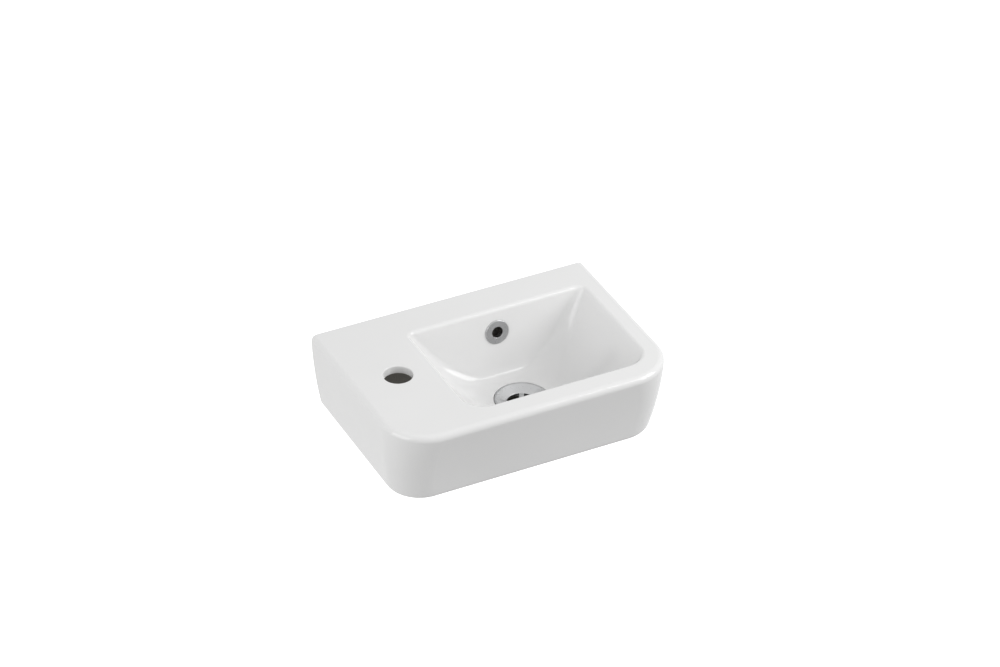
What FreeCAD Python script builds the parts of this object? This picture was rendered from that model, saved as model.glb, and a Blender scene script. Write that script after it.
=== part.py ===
import FreeCAD, Part
import math
import os

from FreeCAD import Vector

# Wall hung ceramic hand basin with an off-centre bowl, an overflow and a two-piece screwed waste.
# Millimetres. +X runs to the right as seen from the room, -Y points into the room, +Z is up.
# The origin is on the wall plane, midway between the two wall fixings.

# ---- China body: outside, before its edges are rounded ----
WIDTH = 360.0
DEPTH = 254.0
APRON_HEIGHT = 105.4
RIM_Z = 60.0                  # rim plane above the line of the wall fixings
SIDE_LEAN = 2.0               # how far each side comes in from rim to foot: straight part
SIDE_CURVE = 9.6              # and curved part
FRONT_LEAN = 35.4             # how far the front comes in
FRONT_CURVE = -8.5
CORNER_RADIUS = 59.2          # front corners in plan, at the rim
CORNER_LEAN = -40.0
CORNER_CURVE = 24.6
BODY_LEVELS = 5
TOP_ROUNDING = 7.4
FOOT_ROUNDING = 10.5
BACK_ROUNDING = 2.5

# ---- China body: walls ----
DECK_THICKNESS = 10.0
APRON_WALL_TOP = 10.0
APRON_WALL_FOOT = 16.0
BACK_PANEL = 12.0
BOWL_WALL = 9.0
HOLLOW_ROUNDING = 6.0

# ---- Bowl ----
# Each profile has four Bezier control values from the rim down to the floor. They share the depths,
# so one parameter gives the whole plan outline of the bowl at a level.
BOWL_X = 39.0
BOWL_DEPTH = 85.0
DEPTH_PROFILE = (0.0, 38.0, BOWL_DEPTH, BOWL_DEPTH)
HALF_WIDTH_PROFILE = (117.0, 95.0, 78.0, 38.0)
BACK_PROFILE = (-48.0, -53.0, -58.0, -80.0)
FRONT_PROFILE = (-221.0, -205.0, -190.0, -156.0)
BACK_CORNER_PROFILE = (8.0, 12.0, 30.0, 37.0)
FRONT_CORNER_PROFILE = (27.0, 33.0, 36.0, 37.0)
BOWL_LEVELS = 9
ABOVE_RIM = -0.05             # profile parameter a little above the rim, where the bowl's cutter starts
BELOW_RIM = 0.05              # and a little below it, where the bowl's wall starts
BOWL_RIM_ROUNDING = 5.5

# ---- Tap hole ----
TAP_X = -122.0
TAP_Y = -119.0
TAP_HOLE_RADIUS = 17.5
TAP_EDGE_ROUNDING = 1.5

# ---- Waste hole and its boss ----
WASTE_Y = -118.0
WASTE_HOLE_RADIUS = 23.0
BOSS_RADIUS = 40.0
BOSS_BOTTOM = 120.0           # depth of the boss's underside below the rim
BOSS_ROUNDING = 3.0
RECESS_RADIUS = 33.3
RECESS_DEPTH = 3.4
RECESS_ROUNDING = 0.8
SEAT_CHAMFER = 4.0

# ---- Overflow ----
OVERFLOW_DEPTH = 30.0
OVERFLOW_HOLE_RADIUS = 10.4
OVERFLOW_SEAT_RADIUS = 15.6
OVERFLOW_DRILL_BACK = 14.0    # how far the overflow's drill runs behind the bowl's wall
OVERFLOW_DRILL_FRONT = 8.0    # and how far it starts in front of it
CHANNEL_WIDTH = 22.0
CHANNEL_WALL = 6.5
# The channel's section in a side view, as (y, depth below the rim), down its front and up its back.
CHANNEL_SECTION = (
    (-44.5, 17.0), (-46.5, 45.0), (-52.0, 66.0), (-66.0, 96.0), (-100.0, 99.0),
    (-100.0, 111.0), (-60.0, 109.0), (-42.0, 74.0), (-35.5, 48.0), (-33.5, 17.0),
)

# ---- Overflow ring ----
RING_RADIUS = 15.25
RING_FACE = 1.8
RING_ROUNDING = 0.9
RING_HOLE_RADIUS = 7.0
SPIGOT_RADIUS = 10.2
SPIGOT_BORE = 8.4
SPIGOT_LENGTH = 7.0

# ---- Waste strainer ----
STRAINER_RADIUS = 32.5
STRAINER_PROUD = 0.6          # flange's top above the bowl's floor
FLANGE_THICKNESS = 2.0
FLANGE_ROUNDING = 0.9
DISH_RADIUS = 29.8            # where the flange turns down into the dish
SHEET = 1.6
OPENING_RADIUS = 18.0
OPENING_DEPTH = 6.0           # bars and hub below the flange's top
SKIRT_RADIUS = 22.2
SKIRT_DEPTH = 11.0
HUB_RADIUS = 7.5
BAR_WIDTH = 6.0
BAR_THICKNESS = 2.4
BAR_ANGLE = 26.4              # first bar, clockwise from +Y seen from above

# ---- Waste screw and seals ----
SCREW_RADIUS = 3.0
SCREW_CLEARANCE = 0.2
SCREW_HEAD_RADIUS = 6.0
SCREW_HEAD_HEIGHT = 2.6
SCREW_HEAD_ROUNDING = 1.2
SCREW_SLOT_WIDTH = 1.6
SCREW_SLOT_DEPTH = 1.3
SEAL_INSIDE = 28.6
SEAL_OUTSIDE = 31.8
TAIL_SEAL_THICKNESS = 4.0
TAIL_SEAL_INSIDE = 24.0

# ---- Waste tail ----
TAIL_FLANGE_RADIUS = 31.0
TAIL_FLANGE_THICKNESS = 3.0
TAIL_CUP_RADIUS = 26.0
TAIL_CUP_BORE = 23.5
TAIL_CUP_DEPTH = 12.0
OUTLET_RADIUS = 20.955        # outside of a G 1 1/4 thread
OUTLET_BORE = 17.5
OUTLET_LENGTH = 38.0
OUTLET_CHAMFER = 1.2
TAIL_HUB_RADIUS = 6.0
TAIL_HUB_HEIGHT = 9.0
TAIL_BAR_WIDTH = 4.0
TAIL_BAR_HEIGHT = 5.0

# ---- Wall fixings ----
FIXING_SPACING = 220.0
FIXING_HOLE_RADIUS = 8.0
STUD_RADIUS = 4.0             # outside of the wood thread, from just in front of the wall plane
STUD_THREAD_RADIUS = 3.6      # mean radius of the M8 machine thread, which takes the nut
STUD_STEP = 0.6               # how far in front of the wall plane one becomes the other
STUD_IN_ROOM = 32.0
STUD_IN_WALL = 52.0
STUD_POINT = 8.0
STUD_POINT_RADIUS = 0.8
STUD_CHAMFER = 0.8
BUSH_RADIUS = 7.7
BUSH_BORE = 4.3
BUSH_SLEEVE = 11.0
BUSH_FLANGE_RADIUS = 14.0
BUSH_FLANGE = 3.0
WASHER_RADIUS = 12.0
WASHER_BORE = 4.2
WASHER_THICKNESS = 1.6
NUT_ACROSS_FLATS = 13.0
NUT_HEIGHT = 6.5
NUT_CHAMFER = 0.8

# ---- Places worked out from the values above ----
FLOOR_Z = RIM_Z - BOWL_DEPTH
BOSS_Z = RIM_Z - BOSS_BOTTOM
FOOT_Z = RIM_Z - APRON_HEIGHT
FLANGE_Z = FLOOR_Z + STRAINER_PROUD
OPENING_Z = FLANGE_Z - OPENING_DEPTH
TAIL_TOP_Z = BOSS_Z - TAIL_SEAL_THICKNESS
TAIL_CUP_Z = TAIL_TOP_Z - TAIL_CUP_DEPTH
OUTLET_Z = TAIL_CUP_Z - OUTLET_LENGTH
TAIL_HUB_Z = TAIL_TOP_Z - TAIL_HUB_HEIGHT
BUSH_FRONT = BACK_PANEL + BUSH_FLANGE
WASHER_FRONT = BUSH_FRONT + WASHER_THICKNESS
UP = Vector(0, 0, 1)
TO_ROOM = Vector(0, -1, 0)
TO_WALL = Vector(0, 1, 0)

# ---- For cutting and for finding edges ----
PAST = 1.0                    # how far a cutter runs past the face that it cuts
NEAR = 0.05                   # how close an edge lies to the place where it's looked for
LEVEL_TOLERANCE = 1e-9
ALL_WIDTH = (-WIDTH, WIDTH)
ALL_DEPTH = (-2 * DEPTH, PAST)


def bezier(poles, u):
    a, b, c, d = poles
    v = 1 - u
    return a * v ** 3 + 3 * b * u * v ** 2 + 3 * c * u ** 2 * v + d * u ** 3


def bezier_slope(poles, u):
    a, b, c, d = poles
    v = 1 - u
    return 3 * ((b - a) * v ** 2 + 2 * (c - b) * u * v + (d - c) * u ** 2)


def corner_arc(centre, radius, start_degrees):
    """Quarter arc, anticlockwise from above."""
    points = []
    for step in (0, 45, 90):
        angle = math.radians(start_degrees + step)
        points.append(centre + Vector(math.cos(angle), math.sin(angle), 0) * radius)
    return Part.Arc(*points)


def body_outline(depth, inset):
    """Plan outline of the china body at a depth below the rim. It runs past the wall plane."""
    t = depth / APRON_HEIGHT
    half = WIDTH / 2 - SIDE_LEAN * t - SIDE_CURVE * t * t - inset
    front = -DEPTH + FRONT_LEAN * t + FRONT_CURVE * t * t + inset
    radius = CORNER_RADIUS + CORNER_LEAN * t + CORNER_CURVE * t * t - inset
    z = RIM_Z - depth
    right = corner_arc(Vector(half - radius, front + radius, z), radius, 270)
    left = corner_arc(Vector(-half + radius, front + radius, z), radius, 180)
    back_right = Vector(half, PAST, z)
    back_left = Vector(-half, PAST, z)
    return Part.Wire([
        left.toShape(),
        Part.LineSegment(left.EndPoint, right.StartPoint).toShape(),
        right.toShape(),
        Part.LineSegment(right.EndPoint, back_right).toShape(),
        Part.LineSegment(back_right, back_left).toShape(),
        Part.LineSegment(back_left, left.StartPoint).toShape(),
    ])


def bowl_outline(u, grow):
    """Plan outline of the bowl at a level, grown outwards for the outside of its wall."""
    half = bezier(HALF_WIDTH_PROFILE, u) + grow
    front = bezier(FRONT_PROFILE, u) - grow
    back = bezier(BACK_PROFILE, u) + grow
    front_radius = bezier(FRONT_CORNER_PROFILE, u) + grow
    back_radius = bezier(BACK_CORNER_PROFILE, u) + grow
    rim, upper, floor, _ = DEPTH_PROFILE
    z = RIM_Z - bezier((rim, upper, floor + grow, floor + grow), u)
    right = BOWL_X + half
    left = BOWL_X - half
    arcs = [
        corner_arc(Vector(right - back_radius, back - back_radius, z), back_radius, 0),
        corner_arc(Vector(left + back_radius, back - back_radius, z), back_radius, 90),
        corner_arc(Vector(left + front_radius, front + front_radius, z), front_radius, 180),
        corner_arc(Vector(right - front_radius, front + front_radius, z), front_radius, 270),
    ]
    edges = []
    for arc, following in zip(arcs, arcs[1:] + arcs[:1]):
        edges.append(arc.toShape())
        edges.append(Part.LineSegment(arc.EndPoint, following.StartPoint).toShape())
    return Part.Wire(edges)


def bowl_solid(first_level, grow):
    step = (1 - first_level) / (BOWL_LEVELS - 1)
    levels = [first_level + step * i for i in range(BOWL_LEVELS)]
    return Part.makeLoft([bowl_outline(u, grow) for u in levels], True, False)


def edges_within(shape, low, high):
    """Edges that lie wholly inside a box given by two corners."""
    found = []
    for edge in shape.Edges:
        box = edge.BoundBox
        above = box.XMin > low[0] and box.YMin > low[1] and box.ZMin > low[2]
        below = box.XMax < high[0] and box.YMax < high[1] and box.ZMax < high[2]
        if above and below:
            found.append(edge)
    return found


def edges_at(shape, z, x_range, y_range):
    """Level edges at a height, within a rectangle."""
    low = (x_range[0], y_range[0], z - NEAR)
    high = (x_range[1], y_range[1], z + NEAR)
    return edges_within(shape, low, high)


def room_edges(shape, z):
    """Level edges at a height round the front and sides, without the one along the wall."""
    level = edges_at(shape, z, ALL_WIDTH, ALL_DEPTH)
    return [edge for edge in level if edge.BoundBox.YMin < -PAST]


def flat_backed(solid, back):
    """The part of a solid in front of an upright plane, so that its back is a true flat face."""
    room = Part.makeBox(2 * WIDTH, 2 * DEPTH, 2 * WIDTH, Vector(-WIDTH, back - 2 * DEPTH, -WIDTH))
    return solid.common(room)


def china_block():
    """The outside of the body before it is hollowed, with its edges rounded."""
    step = APRON_HEIGHT / (BODY_LEVELS - 1)
    block = Part.makeLoft([body_outline(step * i, 0) for i in range(BODY_LEVELS)], True, False)
    block = flat_backed(block, 0)
    block = block.makeFillet(TOP_ROUNDING, room_edges(block, RIM_Z))
    block = block.makeFillet(FOOT_ROUNDING, room_edges(block, FOOT_Z))
    along_wall = edges_within(block, (-WIDTH, -NEAR, -WIDTH), (WIDTH, NEAR, WIDTH))
    return block.makeFillet(BACK_ROUNDING, along_wall)


def china_hollow():
    """The open space under the deck, between the apron, the back panel and the bowl."""
    outlines = []
    for i in range(BODY_LEVELS):
        share = i / (BODY_LEVELS - 1)
        depth = DECK_THICKNESS + (APRON_HEIGHT + PAST - DECK_THICKNESS) * share
        wall = APRON_WALL_TOP + (APRON_WALL_FOOT - APRON_WALL_TOP) * share
        outlines.append(body_outline(depth, wall))
    hollow = flat_backed(Part.makeLoft(outlines, True, False), -BACK_PANEL)
    ceiling = edges_at(hollow, RIM_Z - DECK_THICKNESS, ALL_WIDTH, ALL_DEPTH)
    return hollow.makeFillet(HOLLOW_ROUNDING, ceiling)


def channel_outline():
    points = [Vector(BOWL_X, y, RIM_Z - depth) for y, depth in CHANNEL_SECTION]
    return Part.makePolygon(points + points[:1])


def channel_block(outline, width):
    """A side-view outline made into a block of a given width, centred on the bowl."""
    block = Part.Face(outline).extrude(Vector(width, 0, 0))
    block.translate(Vector(-width / 2, 0, 0))
    return block


def overflow_level():
    """Bowl parameter at the overflow's depth, found by halving."""
    low, high = 0.0, 1.0
    while high - low > LEVEL_TOLERANCE:
        middle = (low + high) / 2
        if bezier(DEPTH_PROFILE, middle) < OVERFLOW_DEPTH:
            low = middle
        else:
            high = middle
    return low


def overflow_centre():
    return Vector(BOWL_X, bezier(BACK_PROFILE, overflow_level()), RIM_Z - OVERFLOW_DEPTH)


def overflow_axis():
    """Normal of the bowl's back wall at the overflow, pointing into the bowl."""
    u = overflow_level()
    return Vector(0, -bezier_slope(DEPTH_PROFILE, u), -bezier_slope(BACK_PROFILE, u)).normalize()


def overflow_cylinder(radius, start, end):
    """Cylinder on the overflow's axis, between two distances into the bowl from its back wall."""
    axis = overflow_axis()
    return Part.makeCylinder(radius, end - start, overflow_centre() + axis * start, axis)


def waste_cylinder(radius, low, high):
    """Upright cylinder on the waste's axis."""
    return Part.makeCylinder(radius, high - low, Vector(BOWL_X, WASTE_Y, low))


def waste_turned(profile):
    """Solid of revolution on the waste's axis from (radius, z) points."""
    points = [Vector(BOWL_X + radius, WASTE_Y, z) for radius, z in profile]
    face = Part.Face(Part.makePolygon(points + points[:1]))
    return face.revolve(Vector(BOWL_X, WASTE_Y, 0), UP, 360)


def waste_cross(width, reach, low, high):
    """Two crossed bars on the waste's axis, turned to the bar angle."""
    centre = Vector(BOWL_X, WASTE_Y, 0)
    corner = Vector(BOWL_X - width / 2, WASTE_Y - reach, low)
    bar = Part.makeBox(width, 2 * reach, high - low, corner)
    bars = []
    for turn in (0, 90):
        turned = bar.copy()
        turned.rotate(centre, UP, turn - BAR_ANGLE)
        bars.append(turned)
    return bars[0].fuse(bars[1])


def fixing_places():
    return [Vector(side * FIXING_SPACING / 2, 0, 0) for side in (-1, 1)]


def round_stud_axis(profile):
    """Solid of revolution on the Y axis from (radius, y) points."""
    points = [Vector(radius, y, 0) for radius, y in profile]
    face = Part.Face(Part.makePolygon(points + points[:1]))
    return face.revolve(Vector(0, 0, 0), TO_WALL, 360)


def at_fixings(piece):
    """A group with one copy of the piece at each wall fixing."""
    copies = []
    for place in fixing_places():
        copy = piece.copy()
        copy.translate(place)
        copies.append(copy)
    return Part.makeCompound(copies)


def ring_round_stud(outside, bore, start, end):
    """Ring round the Y axis, from one distance in front of the wall to another."""
    place = Vector(0, -start, 0)
    ring = Part.makeCylinder(outside, end - start, place, TO_ROOM)
    return ring.cut(Part.makeCylinder(bore, end - start, place, TO_ROOM))


def bowl_and_channel():
    """The bowl's wall, the waste boss and the overflow channel's wall, before they are hollowed."""
    boss = waste_cylinder(BOSS_RADIUS, BOSS_Z, FLOOR_Z)
    boss = boss.makeFillet(BOSS_ROUNDING, edges_at(boss, BOSS_Z, ALL_WIDTH, ALL_DEPTH))
    outline = channel_outline().makeOffset2D(CHANNEL_WALL)
    return [
        bowl_solid(BELOW_RIM, BOWL_WALL),
        boss,
        channel_block(outline, CHANNEL_WIDTH + 2 * CHANNEL_WALL),
    ]


def ceramic_basin():
    body = china_block().cut(china_hollow()).fuse(bowl_and_channel())
    body = body.cut(bowl_solid(ABOVE_RIM, 0))
    seat_z = FLOOR_Z - RECESS_DEPTH
    seat_cone = waste_turned((
        (0, seat_z),
        (WASTE_HOLE_RADIUS + SEAT_CHAMFER, seat_z),
        (WASTE_HOLE_RADIUS, seat_z - SEAT_CHAMFER),
        (0, seat_z - SEAT_CHAMFER),
    ))
    tap_drill = Part.makeCylinder(TAP_HOLE_RADIUS, 2 * DECK_THICKNESS, Vector(TAP_X, TAP_Y, RIM_Z), -UP)
    fixing_drills = [
        Part.makeCylinder(FIXING_HOLE_RADIUS, BACK_PANEL + 2 * PAST, place + TO_WALL * PAST, TO_ROOM)
        for place in fixing_places()
    ]
    body = body.cut([
        waste_cylinder(WASTE_HOLE_RADIUS, BOSS_Z - PAST, FLOOR_Z),
        waste_cylinder(RECESS_RADIUS, seat_z, FLOOR_Z + PAST),
        seat_cone,
        channel_block(channel_outline(), CHANNEL_WIDTH),
        overflow_cylinder(OVERFLOW_HOLE_RADIUS, -OVERFLOW_DRILL_BACK, OVERFLOW_DRILL_FRONT),
        overflow_cylinder(OVERFLOW_SEAT_RADIUS, 0, OVERFLOW_DRILL_FRONT),
        tap_drill,
    ] + fixing_drills)
    for x, y, reach, rounding in (
        (TAP_X, TAP_Y, TAP_HOLE_RADIUS + PAST, TAP_EDGE_ROUNDING),
        (BOWL_X, WASTE_Y, HALF_WIDTH_PROFILE[0] + PAST, BOWL_RIM_ROUNDING),
    ):
        edge = edges_at(body, RIM_Z, (x - reach, x + reach), (y - reach, y + reach))
        body = body.makeFillet(rounding, edge)
    reach = RECESS_RADIUS + PAST
    across = (BOWL_X - reach, BOWL_X + reach)
    along = (WASTE_Y - reach, WASTE_Y + reach)
    return body.makeFillet(RECESS_ROUNDING, edges_at(body, FLOOR_Z, across, along))


def overflow_ring():
    """Trim ring with a flat face and a spigot that pushes into the overflow hole."""
    face = overflow_cylinder(RING_RADIUS, 0, RING_FACE)
    circles = [edge for edge in face.Edges if edge.Closed]
    front = max(circles, key=lambda edge: edge.CenterOfMass.dot(overflow_axis()))
    face = face.makeFillet(RING_ROUNDING, [front])
    ring = face.fuse(overflow_cylinder(SPIGOT_RADIUS, -SPIGOT_LENGTH, 0))
    return ring.cut([
        overflow_cylinder(SPIGOT_BORE, -SPIGOT_LENGTH, 0),
        overflow_cylinder(RING_HOLE_RADIUS, -SPIGOT_LENGTH, RING_FACE),
    ]).removeSplitter()


def waste_strainer():
    """Flange, dish, skirt and the level cross with its hub, in one pressed piece."""
    flange_bottom = FLANGE_Z - FLANGE_THICKNESS
    skirt_bore = SKIRT_RADIUS - SHEET
    dished = waste_turned((
        (STRAINER_RADIUS, flange_bottom),
        (STRAINER_RADIUS, FLANGE_Z - FLANGE_ROUNDING),
        (STRAINER_RADIUS - FLANGE_ROUNDING, FLANGE_Z),
        (DISH_RADIUS, FLANGE_Z),
        (OPENING_RADIUS, OPENING_Z),
        (OPENING_RADIUS, OPENING_Z - BAR_THICKNESS),
        (skirt_bore, OPENING_Z - BAR_THICKNESS),
        (skirt_bore, FLANGE_Z - SKIRT_DEPTH),
        (SKIRT_RADIUS, FLANGE_Z - SKIRT_DEPTH),
        (SKIRT_RADIUS, OPENING_Z - BAR_THICKNESS + PAST),
        (DISH_RADIUS - SHEET, flange_bottom),
    ))
    plate = waste_cylinder(HUB_RADIUS, OPENING_Z - BAR_THICKNESS, OPENING_Z)
    cross = waste_cross(BAR_WIDTH, OPENING_RADIUS + PAST, OPENING_Z - BAR_THICKNESS, OPENING_Z)
    hole = waste_cylinder(SCREW_RADIUS + SCREW_CLEARANCE, OPENING_Z - 2 * BAR_THICKNESS, FLANGE_Z)
    return dished.fuse([plate, cross]).cut(hole).removeSplitter()


def waste_screw():
    head = waste_cylinder(SCREW_HEAD_RADIUS, OPENING_Z, OPENING_Z + SCREW_HEAD_HEIGHT)
    top = edges_at(head, OPENING_Z + SCREW_HEAD_HEIGHT, ALL_WIDTH, ALL_DEPTH)
    head = head.makeFillet(SCREW_HEAD_ROUNDING, top)
    slot_corner = Vector(
        BOWL_X - SCREW_SLOT_WIDTH / 2,
        WASTE_Y - SCREW_HEAD_RADIUS,
        OPENING_Z + SCREW_HEAD_HEIGHT - SCREW_SLOT_DEPTH,
    )
    slot = Part.makeBox(SCREW_SLOT_WIDTH, 2 * SCREW_HEAD_RADIUS, SCREW_SLOT_DEPTH, slot_corner)
    shank = waste_cylinder(SCREW_RADIUS, TAIL_HUB_Z, OPENING_Z)
    return head.cut(slot).fuse(shank)


def strainer_seal():
    seal = waste_cylinder(SEAL_OUTSIDE, FLOOR_Z - RECESS_DEPTH, FLANGE_Z - FLANGE_THICKNESS)
    return seal.cut(waste_cylinder(SEAL_INSIDE, FLOOR_Z - RECESS_DEPTH, FLANGE_Z))


def tail_seal():
    seal = waste_cylinder(TAIL_FLANGE_RADIUS, TAIL_TOP_Z, BOSS_Z)
    return seal.cut(waste_cylinder(TAIL_SEAL_INSIDE, TAIL_TOP_Z, BOSS_Z))


def waste_tail():
    """Flanged cup that takes the waste and the overflow, its outlet, and the screw's hub on a cross."""
    cup_floor = TAIL_CUP_Z + TAIL_FLANGE_THICKNESS
    cup = waste_turned((
        (TAIL_FLANGE_RADIUS, TAIL_TOP_Z),
        (TAIL_FLANGE_RADIUS, TAIL_TOP_Z - TAIL_FLANGE_THICKNESS),
        (TAIL_CUP_RADIUS, TAIL_TOP_Z - TAIL_FLANGE_THICKNESS),
        (TAIL_CUP_RADIUS, TAIL_CUP_Z + TAIL_FLANGE_THICKNESS),
        (OUTLET_RADIUS, TAIL_CUP_Z),
        (OUTLET_RADIUS, OUTLET_Z + OUTLET_CHAMFER),
        (OUTLET_RADIUS - OUTLET_CHAMFER, OUTLET_Z),
        (OUTLET_BORE, OUTLET_Z),
        (OUTLET_BORE, TAIL_CUP_Z),
        (TAIL_CUP_BORE, cup_floor),
        (TAIL_CUP_BORE, TAIL_TOP_Z),
    ))
    hub = waste_cylinder(TAIL_HUB_RADIUS, TAIL_HUB_Z, TAIL_TOP_Z)
    cross = waste_cross(TAIL_BAR_WIDTH, TAIL_CUP_BORE + PAST, TAIL_HUB_Z, TAIL_HUB_Z + TAIL_BAR_HEIGHT)
    thread = waste_cylinder(SCREW_RADIUS, TAIL_HUB_Z, TAIL_TOP_Z)
    return cup.fuse([hub, cross]).cut(thread).removeSplitter()


def fixing_studs():
    """Hanger studs: machine thread into the room, wood thread and point into the wall."""
    shank_end = STUD_IN_WALL - STUD_POINT
    return at_fixings(round_stud_axis((
        (0, -STUD_IN_ROOM),
        (STUD_THREAD_RADIUS - STUD_CHAMFER, -STUD_IN_ROOM),
        (STUD_THREAD_RADIUS, -STUD_IN_ROOM + STUD_CHAMFER),
        (STUD_THREAD_RADIUS, -STUD_STEP),
        (STUD_RADIUS, -STUD_STEP),
        (STUD_RADIUS, shank_end),
        (STUD_POINT_RADIUS, STUD_IN_WALL),
        (0, STUD_IN_WALL),
    )))


def fixing_bushes():
    sleeve = ring_round_stud(BUSH_RADIUS, BUSH_BORE, BACK_PANEL - BUSH_SLEEVE, BACK_PANEL)
    flange = ring_round_stud(BUSH_FLANGE_RADIUS, BUSH_BORE, BACK_PANEL, BUSH_FRONT)
    return at_fixings(sleeve.fuse(flange).removeSplitter())


def fixing_washers():
    return at_fixings(ring_round_stud(WASHER_RADIUS, WASHER_BORE, BUSH_FRONT, WASHER_FRONT))


def fixing_nuts():
    """Hexagon nuts, with their corners turned off on both faces."""
    seat = TO_ROOM * WASHER_FRONT
    corner_radius = NUT_ACROSS_FLATS / math.sqrt(3)
    corners = []
    for side in range(7):
        angle = math.radians(60 * side)
        corners.append(seat + Vector(math.cos(angle), 0, math.sin(angle)) * corner_radius)
    nut = Part.Face(Part.makePolygon(corners)).extrude(TO_ROOM * NUT_HEIGHT)
    barrel = Part.makeCylinder(corner_radius, NUT_HEIGHT, seat, TO_ROOM)
    barrel = barrel.makeChamfer(NUT_CHAMFER, [edge for edge in barrel.Edges if edge.Closed])
    bore = Part.makeCylinder(STUD_THREAD_RADIUS, NUT_HEIGHT, seat, TO_ROOM)
    return at_fixings(nut.common(barrel).cut(bore))


SUB_PARTS = (
    ceramic_basin,
    overflow_ring,
    waste_strainer,
    waste_screw,
    strainer_seal,
    tail_seal,
    waste_tail,
    fixing_studs,
    fixing_bushes,
    fixing_washers,
    fixing_nuts,
)

os.makedirs("parts", exist_ok=True)
for sub_part in SUB_PARTS:
    shape = sub_part()
    if not shape.isValid():
        raise RuntimeError(sub_part.__name__ + " isn't a valid solid")
    shape.exportStep("parts/" + sub_part.__name__ + ".step")
    print(sub_part.__name__, len(shape.Solids), "solids", round(shape.Volume / 1000, 2), "cm3")
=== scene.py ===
import math

import bmesh
import bpy
import numpy as np
from mathutils import Matrix, Vector

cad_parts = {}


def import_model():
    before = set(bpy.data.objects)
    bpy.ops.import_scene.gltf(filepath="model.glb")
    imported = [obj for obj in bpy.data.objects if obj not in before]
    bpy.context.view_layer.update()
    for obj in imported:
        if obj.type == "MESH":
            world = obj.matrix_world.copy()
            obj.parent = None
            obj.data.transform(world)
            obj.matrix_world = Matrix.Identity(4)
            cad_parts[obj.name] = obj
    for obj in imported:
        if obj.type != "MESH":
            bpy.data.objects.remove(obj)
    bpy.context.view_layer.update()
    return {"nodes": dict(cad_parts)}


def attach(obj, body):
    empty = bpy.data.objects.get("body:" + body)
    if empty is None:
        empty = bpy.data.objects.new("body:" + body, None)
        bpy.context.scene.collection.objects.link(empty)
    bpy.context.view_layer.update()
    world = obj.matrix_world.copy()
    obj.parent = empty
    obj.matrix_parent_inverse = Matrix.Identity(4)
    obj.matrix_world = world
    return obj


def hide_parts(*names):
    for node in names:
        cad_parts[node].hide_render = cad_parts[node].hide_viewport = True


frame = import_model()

# Sizes are in millimetres, and become metres as each mesh is made. +X runs to the right as seen
# from the room, -Y points into the room and +Z is up. The origin is on the wall plane, midway
# between the two wall fixings.
MM = 0.001

# ---- China body: outside, before its edges are rounded ----
WIDTH = 360.0
DEPTH = 254.0
APRON_HEIGHT = 105.4
RIM_Z = 60.0
SIDE_LEAN = 2.0               # how far each side comes in from rim to foot: straight part
SIDE_CURVE = 9.6              # and curved part
FRONT_LEAN = 35.4             # how far the front comes in
FRONT_CURVE = -8.5
CORNER_RADIUS = 59.2          # front corners in plan, at the rim
CORNER_LEAN = -40.0
CORNER_CURVE = 24.6
TOP_ROUNDING = 7.4
FOOT_ROUNDING = 10.5
BACK_ROUNDING = 2.5

# ---- China body: walls ----
DECK_THICKNESS = 10.0
APRON_WALL_TOP = 10.0
APRON_WALL_FOOT = 16.0
BACK_PANEL = 12.0
BOWL_WALL = 9.0
HOLLOW_ROUNDING = 6.0
HOLLOW_CORNER = 8.0           # the hollow's two corners at the back, in plan

# ---- Bowl: Bezier control values from the rim to the floor ----
BOWL_X = 39.0
BOWL_DEPTH = 85.0
UPPER_DEPTH = 38.0
HALF_WIDTHS = (117.0, 95.0, 78.0, 38.0)
BACKS = (-48.0, -53.0, -58.0, -80.0)
FRONTS = (-221.0, -205.0, -190.0, -156.0)
BACK_CORNERS = (8.0, 12.0, 30.0, 37.0)
FRONT_CORNERS = (27.0, 33.0, 36.0, 37.0)
BOWL_RIM_ROUNDING = 5.5
ABOVE_RIM = -0.1              # bowl parameter where its table of levels starts
BELOW_RIM = 0.05              # and where the outside of its wall starts

# ---- Holes in the china ----
TAP_X = -122.0
TAP_Y = -119.0
TAP_HOLE_RADIUS = 17.5
TAP_EDGE_ROUNDING = 1.5
WASTE_Y = -118.0
WASTE_HOLE_RADIUS = 23.0
BOSS_RADIUS = 40.0
BOSS_BOTTOM = 120.0           # depth of the boss's underside below the rim
BOSS_ROUNDING = 3.0
BOSS_TOP_DEPTH = 2.0          # the boss starts this far under the bowl's floor, inside its wall
RECESS_RADIUS = 33.3
RECESS_DEPTH = 3.4
RECESS_ROUNDING = 0.8
SEAT_CHAMFER = 4.0
OVERFLOW_DEPTH = 30.0
OVERFLOW_HOLE_RADIUS = 10.4
OVERFLOW_SEAT_RADIUS = 15.6
OVERFLOW_DRILL_BACK = 14.0    # how far the overflow's drill runs behind the bowl's wall
OVERFLOW_DRILL_FRONT = 8.0    # and how far it starts in front of it
CHANNEL_WIDTH = 22.0
CHANNEL_WALL = 6.5
# The overflow channel's section in a side view, as (y, depth below the rim).
CHANNEL_SECTION = (
    (-44.5, 17.0), (-46.5, 45.0), (-52.0, 66.0), (-66.0, 96.0), (-100.0, 99.0),
    (-100.0, 111.0), (-60.0, 109.0), (-42.0, 74.0), (-35.5, 48.0), (-33.5, 17.0),
)

# ---- Roundings of the small edges, from the crispest up ----
CRISP = 0.2
FINE = 0.3
SMALL = 0.4
EASED = 0.5
SOFT = 0.6
BLUNT = 0.7

# ---- Overflow ring ----
RING_RADIUS = 15.25
RING_FACE = 1.8
RING_ROUNDING = 0.9
RING_HOLE_RADIUS = 7.0
RING_WEB = 1.0                # how far the small hole runs behind the ring's seat
SPIGOT_RADIUS = 10.2
SPIGOT_BORE = 8.4
SPIGOT_LENGTH = 7.0

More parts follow.
